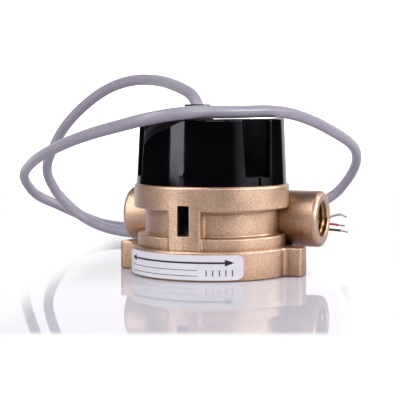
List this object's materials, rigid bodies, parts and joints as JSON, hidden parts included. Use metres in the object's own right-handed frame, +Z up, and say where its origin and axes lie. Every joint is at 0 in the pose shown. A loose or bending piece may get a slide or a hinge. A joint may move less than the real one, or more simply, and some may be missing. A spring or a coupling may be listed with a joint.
{
  "type": "flow sensor",
  "caption": "Paddle-wheel flow sensor: cast brass body with threaded ports and panel ears, a round black electronics housing that clips on and a coiled grey cable with stripped leads.",
  "frame": {"origin": "centre of the bottom face, on the rotor's axis", "axes": "+X along the ports, +Y away from the latch tower, +Z up"},
  "size_m": [0.1844, 0.1991, 0.0771],
  "materials": {
    "cast_brass": "bead blasted casting",
    "clear_lens": "clear moulded plastic",
    "black_rubber": "matte rubber",
    "spring_steel": "plain spring steel",
    "ceramic": "ground ceramic",
    "washer_plastic": "plain low friction plastic",
    "rotor_plastic": "moulded",
    "magnet": "nickel plated",
    "black_gloss_plastic": "polished moulding",
    "black_matte_plastic": "moulded",
    "board_green": "solder resist",
    "chip_black": "moulded package",
    "can_aluminium": "bright can",
    "tinned_metal": "bright tin",
    "cable_jacket": "satin extruded jacket",
    "wire_white": "extruded insulation",
    "wire_red": "extruded insulation",
    "wire_black": "extruded insulation",
    "label_white": "printed film"
  },
  "bodies": {
    "sensor": {"brass_body": "cast_brass", "lens": "clear_lens", "lens_oring": "black_rubber", "lens_retaining_ring": "spring_steel", "rotor_pin": "ceramic", "thrust_washers": "washer_plastic", "electronics_housing": "black_gloss_plastic", "housing_base": "black_matte_plastic", "circuit_board": "board_green", "hall_sensor": "chip_black", "voltage_regulator": "chip_black", "smoothing_capacitor": "can_aluminium", "chip_resistors": "chip_black", "lead_terminals": "tinned_metal", "strain_relief": "black_rubber", "cable": "cable_jacket", "wire_white": "wire_white", "wire_red": "wire_red", "wire_black": "wire_black", "tinned_ends": "tinned_metal", "inner_lead_white": "wire_white", "inner_lead_red": "wire_red", "inner_lead_black": "wire_black", "label": "label_white"},
    "rotor": {"rotor": "rotor_plastic", "rotor_bushing": "washer_plastic", "rotor_magnets": "magnet"},
    "latch": {"snap_latch": "black_gloss_plastic"}
  },
  "joints": [
    {"name": "rotor_spin", "type": "hinge", "parent": "sensor", "child": "rotor", "pos_m": [0, 0, 0.0185], "axis": [0, 0, 1], "continuous": true},
    {"name": "latch_press", "type": "hinge", "parent": "sensor", "child": "latch", "pos_m": [0, -0.0254, 0.044], "axis": [1, 0, 0], "range_deg": [0, 3.4], "stiffness_Nm_per_rad": 1}
  ]
}
